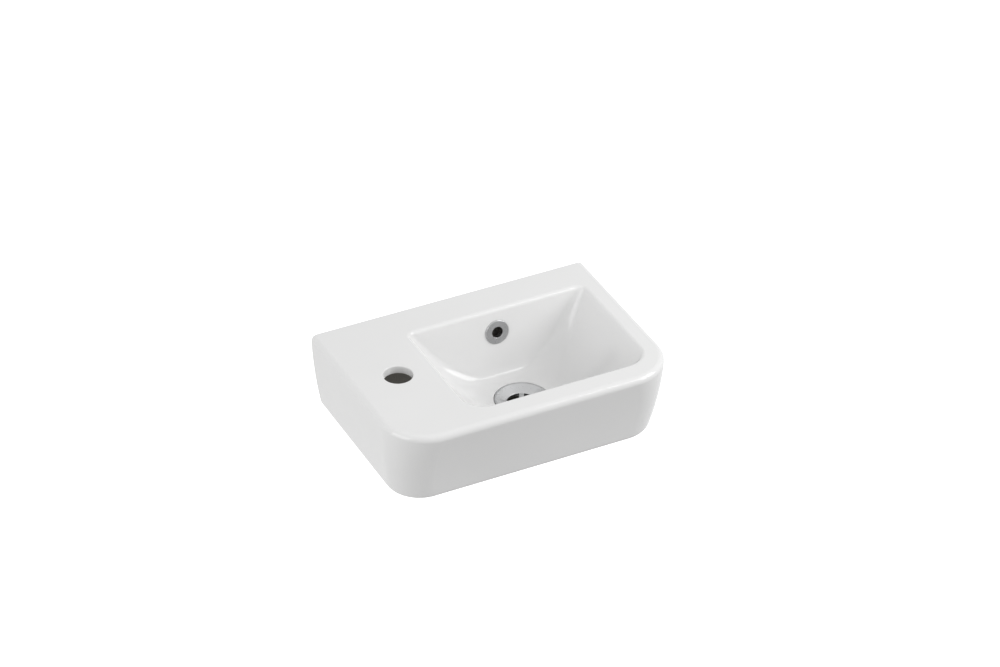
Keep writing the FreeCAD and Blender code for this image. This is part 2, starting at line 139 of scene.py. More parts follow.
# ---- Waste strainer ----
STRAINER_RADIUS = 32.5
STRAINER_PROUD = 0.6          # flange's top above the bowl's floor
FLANGE_THICKNESS = 2.0
FLANGE_ROUNDING = 0.9
DISH_RADIUS = 29.8            # where the flange turns down into the dish
DISH_ROUNDING = 1.5
SHEET = 1.6
OPENING_RADIUS = 18.0
OPENING_DEPTH = 6.0           # bars and hub below the flange's top
SKIRT_RADIUS = 22.2
SKIRT_DEPTH = 11.0
HUB_RADIUS = 7.5
BAR_WIDTH = 6.0
BAR_THICKNESS = 2.4
BAR_ANGLE = 26.4              # first bar, clockwise from +Y seen from above

# ---- Waste screw ----
SCREW_RADIUS = 3.0
SCREW_CLEARANCE = 0.2
SCREW_HUB_GAP = 0.05
SCREW_HEAD_RADIUS = 6.0
SCREW_HEAD_HEIGHT = 2.6
SCREW_HEAD_ROUNDING = 1.2
SCREW_SLOT_WIDTH = 1.6
SCREW_SLOT_DEPTH = 1.3
SCREW_PLAIN = 8.0             # unthreaded length under the head
SCREW_OVERLAP = 0.5           # how far the shank is sunk into the head
SCREW_CHAMFER = 0.6
SCREW_PITCH = 1.0
SCREW_THREAD = 0.55           # depth of the thread

# ---- Waste tail ----
TAIL_SEAL_THICKNESS = 4.0
TAIL_FLANGE_RADIUS = 31.0
TAIL_FLANGE_THICKNESS = 3.0
TAIL_FLANGE_ROUNDING = 0.8
TAIL_NECK_ROUNDING = 1.2
TAIL_SHOULDER_ROUNDING = 2.0
TAIL_STEP_ROUNDING = 1.0
TAIL_CUP_RADIUS = 26.0
TAIL_CUP_BORE = 23.5
TAIL_CUP_DEPTH = 12.0
OUTLET_RADIUS = 20.955        # outside of a G 1 1/4 thread
OUTLET_BORE = 17.5
OUTLET_LENGTH = 38.0
OUTLET_CHAMFER = 1.2
OUTLET_NECK = 3.0             # unthreaded length under the cup
OUTLET_END_RADIUS = 19.7
OUTLET_PITCH = 2.309
OUTLET_THREAD = 1.4
TAIL_HUB_RADIUS = 6.0
TAIL_HUB_HEIGHT = 9.0
TAIL_BAR_WIDTH = 4.0
TAIL_BAR_HEIGHT = 5.0

# ---- Wall fixings: distances along the studs run from the wall plane into the wall ----
FIXING_SPACING = 220.0
FIXING_HOLE_RADIUS = 8.0
STUD_RADIUS = 4.0
STUD_IN_ROOM = 32.0
STUD_IN_WALL = 52.0
STUD_CHAMFER = 0.8
STUD_PITCH = 1.25
STUD_THREAD = 0.7
STUD_THREAD_END = -3.0
STUD_PLAIN = (-2.0, 4.0)
WOOD_THREAD_START = 6.0
WOOD_THREAD_FADE = 3.2
WOOD_THREAD = 1.1
STUD_POINT = 8.0
STUD_POINT_THREAD_RADIUS = 1.0
STUD_TIP = 0.6                # length and radius of the blunt end
STUD_SHARP_DEGREES = 50
BUSH_RADIUS = 7.7
BUSH_BORE = 4.3
BUSH_SLEEVE = 11.0
BUSH_FLANGE_RADIUS = 14.0
BUSH_FLANGE = 3.0
BUSH_FLANGE_ROUNDING = 1.0
WASHER_RADIUS = 12.0
WASHER_BORE = 4.2
WASHER_THICKNESS = 1.6
NUT_ACROSS_FLATS = 13.0
NUT_HEIGHT = 6.5
NUT_CHAMFER = 0.8
NUT_FACE_INSET = 1.4          # round face inside the nut's corners
NUT_CORNER_CLEARANCE = 0.1
NUT_BORE = 4.02
NUT_SINK = 0.5                # depth of the bore's countersinks
NUT_FAR_SINK_RADIUS = 5.4     # of their cutter, where it ends beyond each face
NUT_NEAR_SINK_RADIUS = 5.0
NUT_NEAR_PAST = 0.6           # how far it runs past the near face
NUT_SHARP_DEGREES = 25

# ---- Places worked out from the values above ----
FLOOR_Z = RIM_Z - BOWL_DEPTH
FOOT_Z = RIM_Z - APRON_HEIGHT
BOSS_Z = RIM_Z - BOSS_BOTTOM
FLANGE_Z = FLOOR_Z + STRAINER_PROUD
OPENING_Z = FLANGE_Z - OPENING_DEPTH
BAR_BOTTOM = OPENING_Z - BAR_THICKNESS
SKIRT_BOTTOM = FLANGE_Z - SKIRT_DEPTH
TAIL_TOP_Z = BOSS_Z - TAIL_SEAL_THICKNESS
TAIL_CUP_Z = TAIL_TOP_Z - TAIL_CUP_DEPTH
OUTLET_Z = TAIL_CUP_Z - OUTLET_LENGTH
TAIL_HUB_Z = TAIL_TOP_Z - TAIL_HUB_HEIGHT
BUSH_FRONT = BACK_PANEL + BUSH_FLANGE
WASHER_FRONT = BUSH_FRONT + WASHER_THICKNESS
WASTE_PLACE = (BOWL_X, WASTE_Y, 0)
UP = Vector((0, 0, 1))
TO_WALL = Vector((0, 1, 0))

# ---- Fineness of the meshes ----
ARC_STEPS = 24
LINE_STEPS = 5
ROUNDING_STEPS = 10
SMALL_ROUNDING_STEPS = 6
BAR_ROUNDING_STEPS = 4
WALL_STEPS = 18
BOWL_STEPS = 44
LEVEL_TABLE_SIZE = 4001
LATHE_STEPS = 128
SMALL_LATHE_STEPS = 64
SHANK_STEPS = 32
THREAD_ROWS_PER_TURN = 8
SHARP_DEGREES = 35            # edges sharper than this stay sharp in the shading
WELD = 0.004                  # points nearer than this become one

# ---- For cutting and for slopes ----
PAST = 1.0                    # how far a cutter runs past the face that it cuts
LEAN_STEP = 0.5               # half the height over which the apron's lean is measured
BOWL_LEAN_STEP = 0.02         # half the step in the bowl's parameter for its wall's lean
OVERFLOW_LEAN_STEP = 1e-4     # the same at the overflow
BODY_PASSES = 6               # rounds in which the ends of the roundings settle
BOWL_PASSES = 8
FLARE_TILT = 86.0             # where the rim's rounding turns into a straight flare, in degrees
MOUTH_TILT = 84.0             # the same for the round holes
FLARE_RUN_OUT = 4.0           # length of the straight flare
FLARE_TOP = 5.0               # how far the bowl's cutter reaches above the rim
THREAD_CREST = 0.15           # share of half a turn where a thread is at its full radius
THREAD_FLANK = 0.7            # and over which it falls to its root

# ---- Where glaze turns into clay, or back, as (start, end) ----
CLAY_AT_WALL = (-1.2, -0.4)   # from the wall plane
CLAY_AT_FOOT = (0.4, 0.1)     # above the foot
GLAZE_UNDER_FOOT = (-0.4, -0.8)   # the foot's clay ends again here
CLAY_AT_BOSS = (1.0, 0.3)     # above the boss's underside
CLAY_FACING = (-0.985, -0.995)    # normal's height on the foot and the boss
CLAY_UNDER_DECK = 0.1         # how far into the deck the hollow's clay is counted

# ---- Floor, lamps and camera, in metres, degrees and watts ----
FLOOR_SIZE = 40.0
FLOOR_LEVEL = -0.85
FLOOR_GLOW = 0.9
FLOOR_DIM = (0.40, 0.40, 0.40, 1)
FLOOR_PALE = ((0.80, 0.80, 0.80, 1), (0.84, 0.84, 0.84, 1))
WHITE = (1, 1, 1, 1)
SKY_STRENGTH = 0.66
BASIN_CENTRE = Vector((0.0, -0.12, 0.0))
SOFTBOX_DISTANCE = 2.2
SOFTBOXES = (
    # name, azimuth from the front towards the right, elevation, size, power
    ("softbox_left", -80, 12, 1.6, 16.5),
    ("softbox_right", 55, 34, 1.4, 24.0),
)
CAMERA_RIGHT = Vector((0.8957, -0.4446, 0.0))
CAMERA_BACK = Vector((-0.3668, -0.7389, 0.5652))
CAMERA_PLACE = (-1.6899, -3.5433, 2.6968)
CAMERA_LENS = 142.79
CAMERA_SENSOR = 36.0


# ---- Mesh helpers ----

def make_piece(name, points, faces):
    """A mesh object from points in millimetres, with its faces turned outwards."""
    mesh = bpy.data.meshes.new(name)
    mesh.from_pydata([tuple(p) for p in np.asarray(points, float) * MM], [], faces)
    shell = bmesh.new()
    shell.from_mesh(mesh)
    bmesh.ops.recalc_face_normals(shell, faces=shell.faces)
    shell.to_mesh(mesh)
    shell.free()
    piece = bpy.data.objects.new(name, mesh)
    bpy.context.scene.collection.objects.link(piece)
    return piece


def bake(piece):
    """Applies a piece's modifiers to its mesh."""
    graph = bpy.context.evaluated_depsgraph_get()
    old = piece.data
    piece.data = bpy.data.meshes.new_from_object(piece.evaluated_get(graph))
    piece.modifiers.clear()
    bpy.data.meshes.remove(old)


def combine(piece, tools, operation):
    """Joins, cuts or intersects a piece with others, which are used up."""
    for tool in tools:
        boolean = piece.modifiers.new("combine", "BOOLEAN")
        boolean.operation = operation
        boolean.solver = "EXACT"
        boolean.object = tool
        bake(piece)
        bpy.data.objects.remove(tool)
    return piece


def finish_surface(piece, sharp_degrees=SHARP_DEGREES):
    """Smooth shading with sharp edges kept, and flat faces kept flat."""
    shell = bmesh.new()
    shell.from_mesh(piece.data)
    bmesh.ops.remove_doubles(shell, verts=shell.verts, dist=WELD * MM)
    shell.to_mesh(piece.data)
    shell.free()
    piece.data.shade_smooth()
    piece.data.set_sharp_from_angle(angle=math.radians(sharp_degrees))
    weighted = piece.modifiers.new("flat faces stay flat", "WEIGHTED_NORMAL")
    weighted.keep_sharp = True
    weighted.weight = 100
    bake(piece)
    return piece


def grid_faces(rows, columns, closed):
    faces = []
    last = columns if closed else columns - 1
    for row in range(rows - 1):
        for column in range(last):
            a = row * columns + column
            b = row * columns + (column + 1) % columns
            faces.append((a, b, b + columns, a + columns))
    return faces


def stacked(name, loops):
    """A closed solid from a stack of closed loops, with flat ends."""
    rows, columns = len(loops), len(loops[0])
    faces = grid_faces(rows, columns, True)
    faces.append(tuple(range(columns)))
    faces.append(tuple(range((rows - 1) * columns, rows * columns)))
    return make_piece(name, np.concatenate(loops), faces)


# ---- Outlines ----

def outline_columns(spans, closed):
    """Columns round an outline, as (corner left, corner reached, share of the way, normal's angle)."""
    columns = []
    for corner, (start, end) in enumerate(spans):
        steps = ARC_STEPS + 1 if end > start else 1
        for angle in np.linspace(start, end, steps):
            columns.append((corner, corner, 0.0, angle))
        if closed or corner < len(spans) - 1:
            following = (corner + 1) % len(spans)
            for share in np.linspace(0, 1, LINE_STEPS + 2)[1:-1]:
                columns.append((corner, following, share, end))
    return np.array(columns)


def outline(columns, corners):
    """Points and outward normals in plan. corners holds (x, y, radius) by corner and column."""
    index = np.arange(len(columns))
    angle = np.radians(columns[:, 3])
    normal = np.stack([np.cos(angle), np.sin(angle)], 1)
    ends = []
    for which in (0, 1):
        corner = corners[columns[:, which].astype(int), index]
        ends.append(corner[:, :2] + corner[:, 2:] * normal)
    return ends[0] + columns[:, 2:3] * (ends[1] - ends[0]), normal


def with_height(plan, z):
    return np.column_stack([plan, np.broadcast_to(z, len(plan))])


def body_corners(depth, inset, back, back_radius):
    """Corners of the body's outline, anticlockwise from the back left, at each column's depth."""
    t = depth / APRON_HEIGHT
    half = WIDTH / 2 - SIDE_LEAN * t - SIDE_CURVE * t * t - inset
    front = -DEPTH + FRONT_LEAN * t + FRONT_CURVE * t * t + inset
    radius = CORNER_RADIUS + CORNER_LEAN * t + CORNER_CURVE * t * t - inset
    rear = np.full_like(half, back - back_radius)
    small = np.full_like(half, back_radius)
    return np.array([
        np.stack([-half + small, rear, small], 1),
        np.stack([-half + radius, front + radius, radius], 1),
        np.stack([half - radius, front + radius, radius], 1),
        np.stack([half - small, rear, small], 1),
    ])


def body_lean(depth, columns):
    """Angle by which the apron leans in under the rim, at each column's depth."""
    higher, normal = outline(columns, body_corners(depth - LEAN_STEP, 0, -BACK_ROUNDING, 0))
    lower, _ = outline(columns, body_corners(depth + LEAN_STEP, 0, -BACK_ROUNDING, 0))
    return np.arctan(np.sum((higher - lower) * normal, 1) / (2 * LEAN_STEP))


def bezier(poles, u):
    a, b, c, d = poles
    v = 1 - u
    return a * v ** 3 + 3 * b * u * v ** 2 + 3 * c * u ** 2 * v + d * u ** 3


def bowl_depth(u, grow=0.0):
    return bezier((0.0, UPPER_DEPTH, BOWL_DEPTH + grow, BOWL_DEPTH + grow), u)


def bowl_level(depth):
    """Bowl parameter at a depth below the rim."""
    levels = np.linspace(ABOVE_RIM, 1, LEVEL_TABLE_SIZE)
    return np.interp(depth, bowl_depth(levels), levels)


def bowl_corners(u, grow):
    half = bezier(HALF_WIDTHS, u) + grow
    back = bezier(BACKS, u) + grow
    front = bezier(FRONTS, u) - grow
    back_radius = bezier(BACK_CORNERS, u) + grow
    front_radius = bezier(FRONT_CORNERS, u) + grow
    return np.array([
        np.stack([BOWL_X + half - back_radius, back - back_radius, back_radius], 1),
        np.stack([BOWL_X - half + back_radius, back - back_radius, back_radius], 1),
        np.stack([BOWL_X - half + front_radius, front + front_radius, front_radius], 1),
        np.stack([BOWL_X + half - front_radius, front + front_radius, front_radius], 1),
    ])


BOWL_COLUMNS = outline_columns(((0, 90), (90, 180), (180, 270), (270, 360)), True)
BODY_COLUMNS = outline_columns(((180, 180), (180, 270), (270, 360), (360, 360)), False)
HOLLOW_COLUMNS = outline_columns(((90, 180), (180, 270), (270, 360), (0, 90)), True)


# ---- The china, piece by piece ----

def china_block():
    """Outside of the body: rounded top and foot round the free sides, rounded edges at the wall."""
    columns = BODY_COLUMNS
    count = len(columns)
    rows, tilts = [], []
    top_depth = np.full(count, TOP_ROUNDING)
    foot_depth = np.full(count, APRON_HEIGHT - FOOT_ROUNDING)
    for _ in range(BODY_PASSES):
        top_lean = body_lean(top_depth, columns)
        top_depth = TOP_ROUNDING * (1 + np.sin(top_lean))
        foot_lean = body_lean(foot_depth, columns)
        foot_depth = APRON_HEIGHT - FOOT_ROUNDING * (1 - np.sin(foot_lean))

    def rounding(depth, lean, radius, centre_z, share_from_flat, flat_angle):
        plan, normal = outline(columns, body_corners(depth, 0, -BACK_ROUNDING, 0))
        tilt = flat_angle + (-lean - flat_angle) * share_from_flat
        plan = plan + normal * (radius * (np.cos(tilt) - np.cos(lean)))[:, None]
        rows.append(with_height(plan, centre_z + radius * np.sin(tilt)))
        tilts.append(tilt)

    for share in np.linspace(0, 1, ROUNDING_STEPS + 1):
        rounding(top_depth, top_lean, TOP_ROUNDING, RIM_Z - TOP_ROUNDING, share, math.pi / 2)
    for share in np.linspace(0, 1, WALL_STEPS + 1)[1:-1]:
        depth = top_depth + (foot_depth - top_depth) * share
        plan, _ = outline(columns, body_corners(depth, 0, -BACK_ROUNDING, 0))
        rows.append(with_height(plan, RIM_Z - depth))
        tilts.append(-body_lean(depth, columns))
    for share in np.linspace(1, 0, ROUNDING_STEPS + 1):
        rounding(foot_depth, foot_lean, FOOT_ROUNDING, FOOT_Z + FOOT_ROUNDING, share, -math.pi / 2)

    grid = np.array(rows)
    tilt = np.array(tilts)
    turns = np.radians(np.linspace(0, 90, ROUNDING_STEPS // 2 + 1)[1:])
    sides = []
    for edge, sign in ((0, -1), (-1, 1)):
        across = np.stack([sign * np.cos(tilt[:, edge]), np.zeros(len(grid)), np.sin(tilt[:, edge])], 1)
        extra = []
        for turn in turns:
            moved = grid[:, edge] - across * BACK_ROUNDING * (1 - math.cos(turn))
            moved[:, 1] = -BACK_ROUNDING * (1 - math.sin(turn))
            extra.append(moved)
        sides.append(extra)
    left = np.stack(sides[0][::-1], 1)
    right = np.stack(sides[1], 1)
    grid = np.concatenate([left, grid, right], 1)

    height, width = grid.shape[:2]
    beyond = len(turns)
    faces = grid_faces(height, width, False)
    for row in (0, height - 1):
        start = row * width
        for step in range(beyond):
            a, b = start + step, start + step + 1
            c, d = start + width - 2 - step, start + width - 1 - step
            faces.append((a, b, c, d))
        faces.append(tuple(start + column for column in range(beyond, width - beyond)))
    first = [row * width for row in range(height)]
    last = [row * width + width - 1 for row in reversed(range(height))]
    faces.append(tuple(first + last))
    return make_piece("china_body", grid.reshape(-1, 3), faces)


def hollow_loops():
    """The open space under the deck, from its rounded ceiling down past the apron's foot."""
    columns = HOLLOW_COLUMNS
    ceiling = DECK_THICKNESS
    bottom = APRON_HEIGHT + PAST
    loops = []

    def level(depth, shrink):
        share = (depth - ceiling) / (bottom - ceiling)
        wall = APRON_WALL_TOP + (APRON_WALL_FOOT - APRON_WALL_TOP) * share
        depths = np.full(len(columns), depth)
        plan, normal = outline(columns, body_corners(depths, wall, -BACK_PANEL, HOLLOW_CORNER))
        loops.append(with_height(plan - normal * shrink, RIM_Z - depth))

    for turn in np.radians(np.linspace(0, 90, ROUNDING_STEPS // 2 + 1)):
        radius = HOLLOW_ROUNDING
        level(ceiling + radius * (1 - math.cos(turn)), radius * (1 - math.sin(turn)))
    for depth in np.linspace(ceiling + HOLLOW_ROUNDING, bottom, WALL_STEPS)[1:]:
        level(depth, 0.0)
    return loops


def bowl_cutter_loops():
    """The bowl's inside, with the rim's rounding as a flare that runs out just above the deck."""
    columns = BOWL_COLUMNS
    radius = BOWL_RIM_ROUNDING
    tangent = np.full(len(columns), radius)
    step = BOWL_LEAN_STEP
    for _ in range(BOWL_PASSES):
        u = bowl_level(tangent)
        outer, normal = outline(columns, bowl_corners(u - step, 0))
        inner, _ = outline(columns, bowl_corners(u + step, 0))
        fall = bowl_depth(u + step) - bowl_depth(u - step)
        lean = np.arctan(np.sum((outer - inner) * normal, 1) / fall)
        tangent = radius * (1 - np.sin(lean))
    u = bowl_level(tangent)
    wall, normal = outline(columns, bowl_corners(u, 0))
    last_tilt = math.radians(FLARE_TILT)
    loops = []
    for share in np.linspace(1, 0, ROUNDING_STEPS + 1):
        tilt = lean + (last_tilt - lean) * share
        out = radius * (np.cos(lean) - np.cos(tilt))
        loops.append(with_height(wall + normal * out[:, None], RIM_Z - radius + radius * np.sin(tilt)))
    flare = loops[0].copy()
    flare[:, :2] += normal * FLARE_RUN_OUT * math.sin(last_tilt)
    flare[:, 2] += FLARE_RUN_OUT * math.cos(last_tilt)
    above = flare.copy()
    above[:, 2] = RIM_Z + FLARE_TOP
    loops = [above, flare] + loops
    for share in np.linspace(0, 1, BOWL_STEPS + 1)[1:]:
        level = u + (1 - u) * share
        plan, _ = outline(columns, bowl_corners(level, 0))
        loops.append(with_height(plan, RIM_Z - bowl_depth(level)))
    return loops


def bowl_outside_loops():
    """Outside of the bowl's wall, from inside the deck down to under the floor."""
    loops = []
    for u in np.linspace(BELOW_RIM, 1, BOWL_STEPS // 2):
        level = np.full(len(BOWL_COLUMNS), u)
        plan, _ = outline(BOWL_COLUMNS, bowl_corners(level, BOWL_WALL))
        loops.append(with_height(plan, RIM_Z - bowl_depth(u, BOWL_WALL)))
    return loops


def turned(name, profile, place=(0, 0, 0), axis=UP, pitch=1.0, steps=LATHE_STEPS):
    """Solid of revolution from a closed profile of (radius, distance along the axis, thread depth)."""
    place, axis = np.array(place, float), Vector(axis).normalized()
    side = axis.orthogonal().normalized()
    across = np.array(axis.cross(side))
    side, axis = np.array(side), np.array(axis)
    angles = np.linspace(0, 2 * math.pi, steps, endpoint=False)
    around = np.outer(np.cos(angles), side) + np.outer(np.sin(angles), across)
    points, rows = [], []
    for radius, height, *thread in profile:
        level = place + axis * height
        if radius == 0:
            rows.append([len(points)] * steps)
            points.append(level)
            continue
        radii = np.full(steps, float(radius))
        if thread:
            phase = (height / pitch - angles / (2 * math.pi)) % 1
            radii -= thread[0] * np.clip((np.abs(2 * phase - 1) - THREAD_CREST) / THREAD_FLANK, 0, 1)
        rows.append(list(range(len(points), len(points) + steps)))
        points.extend(level + around * radii[:, None])
    faces = []
    for row, following in zip(rows, rows[1:] + rows[:1]):
        for column in range(steps):
            beside = (column + 1) % steps
            corners = (row[column], row[beside], following[beside], following[column])
            face = tuple(dict.fromkeys(corners))
            if len(face) > 2:
                faces.append(face)
    return make_piece(name, points, faces)


def rod(radius, low, high):
    """Profile of a plain cylinder."""
    return (0, low), (radius, low), (radius, high), (0, high)


def rounded(corners, steps=SMALL_ROUNDING_STEPS):
    """A closed profile with each (radius, distance, rounding) corner replaced by an arc."""
    result = []
    for i, corner in enumerate(corners):
        here = np.array(corner[:2], float)
        if len(corner) < 3:
            result.append(tuple(here))
            continue
        before = np.array(corners[i - 1][:2], float) - here
        after = np.array(corners[(i + 1) % len(corners)][:2], float) - here
        before /= np.linalg.norm(before)
        after /= np.linalg.norm(after)
        half = math.acos(np.clip(before @ after, -1, 1)) / 2
        bisector = (before + after) / np.linalg.norm(before + after)
        radius = corner[2]
        centre = here + bisector * radius / math.sin(half)
        first = here + before * radius / math.tan(half) - centre
        last = here + after * radius / math.tan(half) - centre
        start = math.atan2(first[1], first[0])
        sweep = (math.atan2(last[1], last[0]) - start + math.pi) % (2 * math.pi) - math.pi
        for share in np.linspace(0, 1, steps + 1):
            angle = start + sweep * share
            result.append((centre[0] + radius * math.cos(angle), centre[1] + radius * math.sin(angle)))
    return result


def flared(radius, bottom, top, rounding):
    """Profile of a round cutter whose mouth flares to leave a rounded edge at the top."""
    profile = [(0, bottom), (radius, bottom)]
    for angle in np.radians(np.linspace(0, MOUTH_TILT, ROUNDING_STEPS)):
        out = radius + rounding * (1 - math.cos(angle))
        profile.append((out, top - rounding + rounding * math.sin(angle)))
    mouth = out + 2 * PAST
    rise = 2 * PAST * math.cos(math.radians(MOUTH_TILT))
    profile += [(mouth, profile[-1][1] + rise), (mouth, top + PAST), (0, top + PAST)]
    return profile


def thread_rows(radius, start, end, fade_length, depth, end_radius=None):
    """Rows of a screw thread that fades out over a length, usually one turn, at both ends."""
    end_radius = radius if end_radius is None else end_radius
    count = int(abs(end - start) / fade_length * THREAD_ROWS_PER_TURN)
    rows = []
    for height in np.linspace(start, end, count):
        fade = min(1.0, abs(height - start) / fade_length, abs(end - height) / fade_length)
        share = (height - start) / (end - start)
        rows.append((radius + (end_radius - radius) * share, height, depth * fade))
    return rows


def grown(points, distance):
    """A flat closed outline moved outwards, its outer corners rounded."""
    points = np.array(points, float)
    following = np.roll(points, -1, 0)
    if np.sum(points[:, 0] * following[:, 1] - following[:, 0] * points[:, 1]) < 0:
        points = points[::-1]
        following = np.roll(points, -1, 0)
    run = following - points
    run /= np.linalg.norm(run, axis=1)[:, None]
    normal = np.stack([run[:, 1], -run[:, 0]], 1)
    result = []
    for point, before, after in zip(points, np.roll(normal, 1, 0), normal):
        turn = math.atan2(before[0] * after[1] - before[1] * after[0], before @ after)
        if turn <= 0:
            result.append(point + distance * (before + after) / (1 + before @ after))
            continue
        start = math.atan2(before[1], before[0])
        for share in np.linspace(0, 1, SMALL_ROUNDING_STEPS + 1):
            angle = start + turn * share
            result.append(point + distance * np.array([math.cos(angle), math.sin(angle)]))
    return np.array(result)


def channel_block(name, outline_yz, width):
    """The overflow channel's section, or its wall's, as a block centred on the bowl."""
    left = np.column_stack([np.full(len(outline_yz), BOWL_X - width / 2), outline_yz])
    return stacked(name, [left, left + (width, 0, 0)])


def overflow_frame():
    """Centre of the overflow on the bowl's back wall, and the wall's normal into the bowl."""
    u = float(bowl_level(OVERFLOW_DEPTH))
    step = OVERFLOW_LEAN_STEP
    fall = (bowl_depth(u + step) - bowl_depth(u - step)) / (2 * step)
    back = (bezier(BACKS, u + step) - bezier(BACKS, u - step)) / (2 * step)
    centre = Vector((BOWL_X, bezier(BACKS, u), RIM_Z - OVERFLOW_DEPTH))
    return centre, Vector((0, -fall, -back)).normalized()


OVERFLOW_CENTRE, OVERFLOW_AXIS = overflow_frame()


def outside_by(x, y, half, back, front, back_radius, front_radius):
    """Distance of points outside a rounded rectangle in plan, negative inside."""
    radius = np.where(y > (back + front) / 2, back_radius, front_radius)
    across = np.abs(x) - half + radius
    along = np.maximum(y - back, front - y) + radius
    corner = np.hypot(np.maximum(across, 0), np.maximum(along, 0))
    return corner + np.minimum(np.maximum(across, along), 0) - radius


def mark_unglazed(body):
    """Marks the faces of the hollow and the overflow's channel, where the clay stays bare and the glaze
    material paints shade on it.
    """
    mesh = body.data
    places = np.empty(3 * len(mesh.vertices))
    mesh.vertices.foreach_get("co", places)
    x, y, z = places.reshape(-1, 3).T / MM
    depth = RIM_Z - z
    corner_x, corner_y, radius = body_corners(depth, 0, 0, 0)[2].T
    half, front = corner_x + radius, corner_y - radius
    inside_body = outside_by(x, y, half, PAST, front, PAST, radius) < -APRON_WALL_TOP / 2
    u = bowl_level(np.clip(depth, 0, BOWL_DEPTH))
    outside_bowl = outside_by(
        x - BOWL_X, y, bezier(HALF_WIDTHS, u), bezier(BACKS, u), bezier(FRONTS, u),
        bezier(BACK_CORNERS, u), bezier(FRONT_CORNERS, u),
    ) > BOWL_WALL / 2
    under_deck = depth > DECK_THICKNESS - CLAY_UNDER_DECK
    bare = inside_body & under_deck & (outside_bowl | (depth > BOWL_DEPTH + BOWL_WALL / 2))
    used = np.empty(len(mesh.loops), int)
    mesh.loops.foreach_get("vertex_index", used)
    starts = np.empty(len(mesh.polygons), int)
    mesh.polygons.foreach_get("loop_start", starts)
    mark = mesh.attributes.new("bare_clay_and_painted_shade", "FLOAT", "FACE")
    mark.data.foreach_set("value", np.minimum.reduceat(bare.astype(float)[used], starts))


def china_body():
    """The whole casting: outside, hollow, bowl, boss, channel and holes."""
    body = china_block()
    combine(body, [stacked("hollow", hollow_loops())], "DIFFERENCE")
    channel = np.array([(y, RIM_Z - depth) for y, depth in CHANNEL_SECTION])
    boss_top = FLOOR_Z - BOSS_TOP_DEPTH
    boss = rounded((
        (0, BOSS_Z), (BOSS_RADIUS, BOSS_Z, BOSS_ROUNDING), (BOSS_RADIUS, boss_top), (0, boss_top),
    ))
    combine(body, [
        stacked("bowl_outside", bowl_outside_loops()),
        turned("boss", boss, WASTE_PLACE),
        channel_block("channel_wall", grown(channel, CHANNEL_WALL), CHANNEL_WIDTH + 2 * CHANNEL_WALL),
    ], "UNION")
    seat_z = FLOOR_Z - RECESS_DEPTH
    waste = flared(RECESS_RADIUS, seat_z, FLOOR_Z, RECESS_ROUNDING)
    waste[:1] = [
        (0, BOSS_Z - PAST), (WASTE_HOLE_RADIUS, BOSS_Z - PAST),
        (WASTE_HOLE_RADIUS, seat_z - SEAT_CHAMFER), (WASTE_HOLE_RADIUS + SEAT_CHAMFER, seat_z),
    ]
    tap = flared(TAP_HOLE_RADIUS, RIM_Z - 2 * DECK_THICKNESS, RIM_Z, TAP_EDGE_ROUNDING)
    hole = rod(OVERFLOW_HOLE_RADIUS, -OVERFLOW_DRILL_BACK, OVERFLOW_DRILL_FRONT)
    seat = rod(OVERFLOW_SEAT_RADIUS, 0, OVERFLOW_DRILL_FRONT)
    drill = rod(FIXING_HOLE_RADIUS, -BACK_PANEL - PAST, PAST)
    cutters = [
        stacked("bowl_cutter", bowl_cutter_loops()),
        turned("waste_cutter", waste, WASTE_PLACE),
        turned("tap_cutter", tap, (TAP_X, TAP_Y, 0)),
        channel_block("channel_cutter", channel, CHANNEL_WIDTH),
        turned("overflow_cutter", hole, OVERFLOW_CENTRE, OVERFLOW_AXIS),
        turned("overflow_seat", seat, OVERFLOW_CENTRE, OVERFLOW_AXIS),
    ]
    for side in (-1, 1):
        place = (side * FIXING_SPACING / 2, 0, 0)
        cutters.append(turned("fixing_drill", drill, place, TO_WALL, steps=SMALL_LATHE_STEPS))
    combine(body, cutters, "DIFFERENCE")
    finish_surface(body)
    mark_unglazed(body)
    return body


# ---- Overflow ring ----

def overflow_trim():
    """Trim ring: a round-edged face on its seat in the bowl's wall, and a spigot behind it."""
    profile = rounded((
        (RING_RADIUS, 0.0),
        (RING_RADIUS, RING_FACE, RING_ROUNDING),
        (RING_HOLE_RADIUS, RING_FACE, EASED),
        (RING_HOLE_RADIUS, -RING_WEB, SMALL),
        (SPIGOT_BORE, -RING_WEB),
        (SPIGOT_BORE, -SPIGOT_LENGTH),
        (SPIGOT_RADIUS, -SPIGOT_LENGTH, SMALL),
        (SPIGOT_RADIUS, 0.0),
    ))
    return finish_surface(turned("overflow_trim", profile, OVERFLOW_CENTRE, OVERFLOW_AXIS))


# ---- Waste ----

def crossed_bars(name, width, reach, low, high, rounding):
    """Two crossed bars with rounded long edges, on the waste's axis."""
    half = width / 2
    section = rounded((
        (-half, low, rounding), (half, low, rounding), (half, high, rounding), (-half, high, rounding),
    ), BAR_ROUNDING_STEPS)
    bars = []
    for number, turn in enumerate((0, 90)):
        angle = math.radians(BAR_ANGLE - turn)
        along = np.array([math.sin(angle), math.cos(angle)])
        across = np.array([math.cos(angle), -math.sin(angle)])
        ends = []
        for end in (-reach, reach):
            middle = np.array([BOWL_X, WASTE_Y]) + end * along
            ends.append([(*(middle + x * across), z) for x, z in section])
        bars.append(stacked(name + str(number), np.array(ends)))
    return bars


